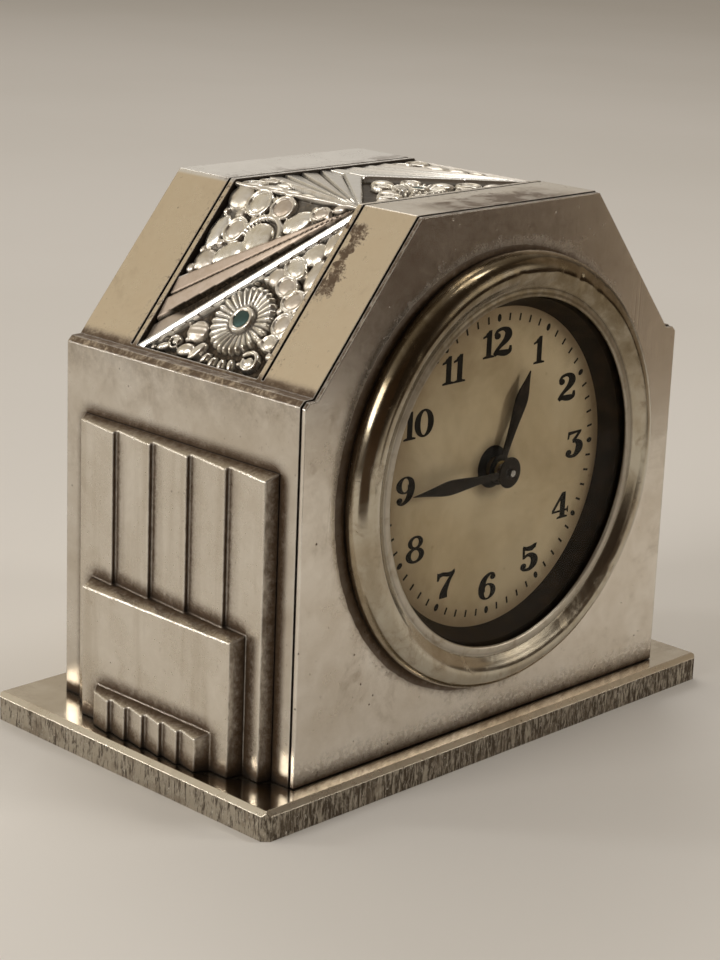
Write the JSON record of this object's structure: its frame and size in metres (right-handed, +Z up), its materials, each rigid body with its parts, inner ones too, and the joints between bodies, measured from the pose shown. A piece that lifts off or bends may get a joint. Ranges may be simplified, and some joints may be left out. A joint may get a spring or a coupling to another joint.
{
  "type": "mantel clock",
  "caption": "Key-wound mantel clock: stepped metal case with sloped shoulders, cast ornament band, fluted sides, round bezel and a base slab.",
  "frame": {"origin": "middle of the bounding box at the underside of the base", "axes": "+Z up, dial faces -Y, +X to the right seen from the front"},
  "size_m": [0.1446, 0.0892, 0.1226],
  "materials": {
    "case_bronze": "silver-plated bronze, satin, patinated in the recesses",
    "front_bronze": "silver-plated bronze, satin, darker patina",
    "relief_bronze": "silver-plated bronze, satin, dark in the corners",
    "ornament_silver": "silver-plated bronze, polished high spots, dark recesses",
    "base_bronze": "silver-plated bronze, mirror top, rough striated sides",
    "bezel_plate": "polished plate, yellowish",
    "glass": "clear domed glass",
    "surround_dark": "dark brown, matt",
    "dial_card": "cream, aged and mottled",
    "hand_black": "black, satin",
    "movement_brass": "satin brass",
    "back_brass": "satin brass, dulled",
    "steel": "polished steel",
    "spring_steel": "blued steel",
    "screw_steel": "dulled steel"
  },
  "bodies": {
    "case": {"case_shell": "case_bronze", "front_plate": "front_bronze", "side_relief_left": "relief_bronze", "side_relief_right": "relief_bronze", "ornament_left": "ornament_silver", "ornament_roof": "ornament_silver", "ornament_right": "ornament_silver", "base_plate": "base_bronze", "base_screws": "screw_steel", "back_plate": "back_brass", "back_plate_screws": "screw_steel", "bezel": "bezel_plate", "crystal": "glass", "dial_surround": "surround_dark", "dial": "dial_card", "dial_plate": "movement_brass", "movement_cover": "movement_brass", "bezel_screws": "screw_steel", "cover_screws": "screw_steel", "front_movement_plate": "movement_brass", "rear_movement_plate": "movement_brass", "pillars": "movement_brass", "pillar_screws": "screw_steel", "pillar_nuts": "movement_brass", "click_spring": "spring_steel"},
    "barrel": {"mainspring_barrel": "movement_brass", "barrel_cap": "movement_brass", "mainspring": "spring_steel"},
    "winding": {"barrel_arbor": "steel", "ratchet_wheel": "steel", "winding_key": "back_brass"},
    "intermediate": {"intermediate_wheel": "movement_brass"},
    "centre": {"centre_arbor": "steel", "centre_wheel": "movement_brass", "cannon_pinion": "steel", "minute_hand": "hand_black", "setting_knob": "back_brass"},
    "hour": {"hour_wheel": "movement_brass", "hour_hand": "hand_black"},
    "minute_motion": {"minute_wheel": "movement_brass"},
    "third": {"third_wheel": "movement_brass"},
    "fourth": {"fourth_wheel": "movement_brass"},
    "escape": {"escape_wheel": "movement_brass"},
    "pallet": {"pallet_lever": "steel"},
    "balance": {"balance_wheel": "movement_brass", "hairspring": "spring_steel"},
    "click": {"click": "steel"},
    "regulator": {"regulator_arm": "steel"}
  },
  "joints": [
    {"name": "centre_spin", "type": "hinge", "parent": "case", "child": "centre", "pos_m": [0, -0.01875, 0.0645], "axis": [0, 1, 0], "continuous": true},
    {"name": "hour_spin", "type": "hinge", "parent": "case", "child": "hour", "pos_m": [0, -0.03575, 0.0645], "axis": [0, 1, 0], "continuous": true},
    {"name": "minute_motion_spin", "type": "hinge", "parent": "case", "child": "minute_motion", "pos_m": [-0.00677, -0.03375, 0.06204], "axis": [0, 1, 0], "continuous": true},
    {"name": "intermediate_spin", "type": "hinge", "parent": "case", "child": "intermediate", "pos_m": [0.01205, -0.01875, 0.05888], "axis": [0, 1, 0], "continuous": true},
    {"name": "barrel_spin", "type": "hinge", "parent": "case", "child": "barrel", "pos_m": [0, -0.01875, 0.046], "axis": [0, 1, 0], "continuous": true},
    {"name": "third_spin", "type": "hinge", "parent": "case", "child": "third", "pos_m": [-0.00882, -0.01875, 0.0719], "axis": [0, 1, 0], "continuous": true},
    {"name": "fourth_spin", "type": "hinge", "parent": "case", "child": "fourth", "pos_m": [-0.00406, -0.01875, 0.08015], "axis": [0, 1, 0], "continuous": true},
    {"name": "escape_spin", "type": "hinge", "parent": "case", "child": "escape", "pos_m": [0.00458, -0.01875, 0.08015], "axis": [0, 1, 0], "continuous": true},
    {"name": "winding_turn", "type": "hinge", "parent": "case", "child": "winding", "pos_m": [0, 0.02125, 0.046], "axis": [0, 1, 0], "continuous": true},
    {"name": "pallet_rock", "type": "hinge", "parent": "case", "child": "pallet", "pos_m": [0.01137, -0.02175, 0.07846], "axis": [0, 1, 0], "range_deg": [-4, 4]},
    {"name": "balance_swing", "type": "hinge", "parent": "case", "child": "balance", "pos_m": [0.01934, -0.02575, 0.07347], "axis": [0, 1, 0], "range_deg": [-150, 150], "stiffness_Nm_per_rad": 0.0000045},
    {"name": "click_lift", "type": "hinge", "parent": "case", "child": "click", "pos_m": [0.0115, 0.00025, 0.046], "axis": [0, 1, 0], "range_deg": [0, 15], "stiffness_Nm_per_rad": 0.00005, "springref_deg": -28.65},
    {"name": "regulator_turn", "type": "hinge", "parent": "case", "child": "regulator", "pos_m": [0.01934, -0.00375, 0.07347], "axis": [0, 1, 0], "range_deg": [-12, 12]}
  ],
  "couplings": [
    {"joint": "hour_spin", "follows": "centre_spin", "ratio": 0.083333},
    {"joint": "minute_motion_spin", "follows": "centre_spin", "ratio": -0.33333},
    {"joint": "intermediate_spin", "follows": "centre_spin", "ratio": -0.16667},
    {"joint": "barrel_spin", "follows": "centre_spin", "ratio": 0.027778},
    {"joint": "third_spin", "follows": "centre_spin", "ratio": -8},
    {"joint": "fourth_spin", "follows": "centre_spin", "ratio": 60},
    {"joint": "escape_spin", "follows": "centre_spin", "ratio": -480}
  ]
}
